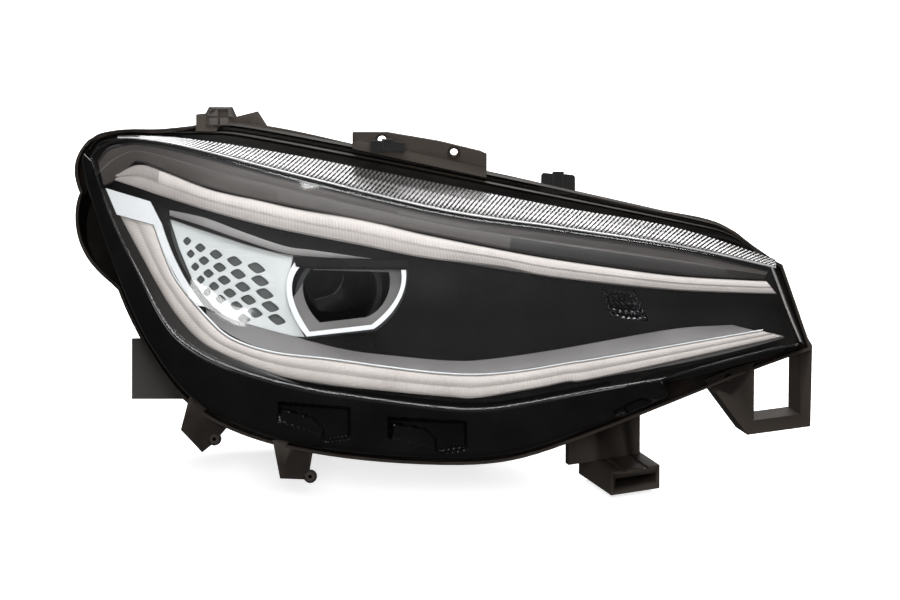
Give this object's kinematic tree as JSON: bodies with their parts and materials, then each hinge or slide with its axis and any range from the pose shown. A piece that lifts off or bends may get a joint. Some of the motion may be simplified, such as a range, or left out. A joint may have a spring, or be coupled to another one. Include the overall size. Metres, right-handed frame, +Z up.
{
  "type": "car headlight assembly",
  "caption": "Swept right-hand car headlight: clear lens, blade light guides, swivelling levelled projector module, bracketed housing.",
  "frame": {"origin": "front edge of the locating hole in the upper centre bracket, on the hole's axis", "axes": "-Y is the car's forward direction, +X runs from the outer side of the car towards its middle along the lamp, +Z is up"},
  "size_m": [0.5865, 0.4956, 0.3361],
  "materials": {
    "housing_plastic": "grained dark moulding",
    "clear_lens": "clear moulded lens",
    "gloss_black": "gloss black",
    "dark_bezel": "dark gloss",
    "light_guide": "frosted warm grey with fine cross ridges",
    "guide_backing": "grey",
    "satin_silver": "satin silver",
    "white_trim": "near white",
    "panel_grey": "light grey",
    "backing_grey": "dark grey",
    "shroud_grey": "warm grey",
    "mirror_coat": "bright coated",
    "projector_glass": "polished",
    "cast_alloy": "as cast",
    "sink_alloy": "bare",
    "circuit_board": "solder mask",
    "black_plastic": "moulded",
    "white_nylon": "moulded",
    "plated_steel": "zinc plated",
    "black_rubber": "matt",
    "contact_metal": "tin on brass"
  },
  "bodies": {
    "lamp_body": {"housing": "housing_plastic", "outer_lens": "clear_lens", "lens_border": "gloss_black", "lens_seal": "black_rubber", "upper_light_guide": "light_guide", "upper_guide_reflector": "guide_backing", "lower_light_guide": "light_guide", "lower_guide_reflector": "guide_backing", "upper_trim": "dark_bezel", "satin_trim": "satin_silver", "side_trim": "white_trim", "bezel": "dark_bezel", "cornering_reflector": "mirror_coat", "upper_led_board": "circuit_board", "lower_led_board": "circuit_board", "honeycomb_panel": "panel_grey", "honeycomb_backing": "backing_grey", "projector_ring": "white_trim", "projector_shroud": "shroud_grey", "upper_outer_bracket": "housing_plastic", "upper_centre_bracket": "housing_plastic", "bonnet_seal_clips": "black_plastic", "inner_loop_bracket": "housing_plastic", "lower_guide_bracket": "housing_plastic", "lower_outer_tab": "housing_plastic", "lower_middle_tab": "housing_plastic", "lower_clip": "housing_plastic", "side_driver_unit": "black_plastic", "pivot_stud": "plated_steel", "levelling_motor": "black_plastic", "vent_caps": "black_rubber", "main_connector": "black_plastic", "connector_pins": "contact_metal", "control_unit": "sink_alloy", "control_unit_screws": "plated_steel"},
    "pivot_carrier": {"pivot_cup": "white_nylon"},
    "yoke": {"carrier_yoke": "cast_alloy", "swivel_actuator": "black_plastic"},
    "module": {"projector_lens": "projector_glass", "lens_holder": "cast_alloy", "optic_housing": "black_plastic", "optic_reflector": "mirror_coat", "led_board": "circuit_board", "heat_sink": "sink_alloy", "fan_frame": "black_plastic"},
    "rotor": {"fan_rotor": "black_plastic"},
    "spindle": {"levelling_spindle": "white_nylon"},
    "nut": {"aim_nut": "white_nylon"},
    "screw": {"aim_screw": "plated_steel"},
    "cap": {"service_cap": "black_plastic", "service_cap_seal": "black_rubber"}
  },
  "joints": [
    {"name": "aim_yaw", "type": "hinge", "parent": "lamp_body", "child": "pivot_carrier", "pos_m": [-0.189, 0.13, -0.082], "axis": [0, 0, 1], "range_deg": [-2.5, 2.5]},
    {"name": "levelling", "type": "hinge", "parent": "pivot_carrier", "child": "yoke", "pos_m": [-0.189, 0.13, -0.082], "axis": [1, 0, 0], "range_deg": [-3, 4]},
    {"name": "bend_swivel", "type": "hinge", "parent": "yoke", "child": "module", "pos_m": [-0.106, 0.054, -0.133], "axis": [0, 0, 1], "range_deg": [-10, 10]},
    {"name": "fan_spin", "type": "hinge", "parent": "module", "child": "rotor", "pos_m": [-0.106, 0.128, -0.133], "axis": [0, 1, 0], "continuous": true},
    {"name": "levelling_slide", "type": "slide", "parent": "lamp_body", "child": "spindle", "axis": [0, 1, 0], "range_m": [-0.0056, 0.0074]},
    {"name": "aim_slide", "type": "slide", "parent": "lamp_body", "child": "nut", "axis": [0, 1, 0], "range_m": [-0.0075, 0.0075]},
    {"name": "aim_screw_turn", "type": "hinge", "parent": "lamp_body", "child": "screw", "pos_m": [-0.025, 0.19, -0.082], "axis": [0, 1, 0], "range_deg": [-880, 880]},
    {"name": "service_cap_twist", "type": "hinge", "parent": "lamp_body", "child": "cap", "pos_m": [-0.08918, 0.20782, -0.14646], "axis": [0.4019, 0.8619, -0.309], "range_deg": [0, 35]}
  ],
  "couplings": [
    {"joint": "levelling_slide", "follows": "levelling", "m_per_rad": 0.1},
    {"joint": "aim_slide", "follows": "aim_yaw", "m_per_rad": 0.164},
    {"joint": "aim_screw_turn", "follows": "aim_yaw", "ratio": 343.48}
  ]
}
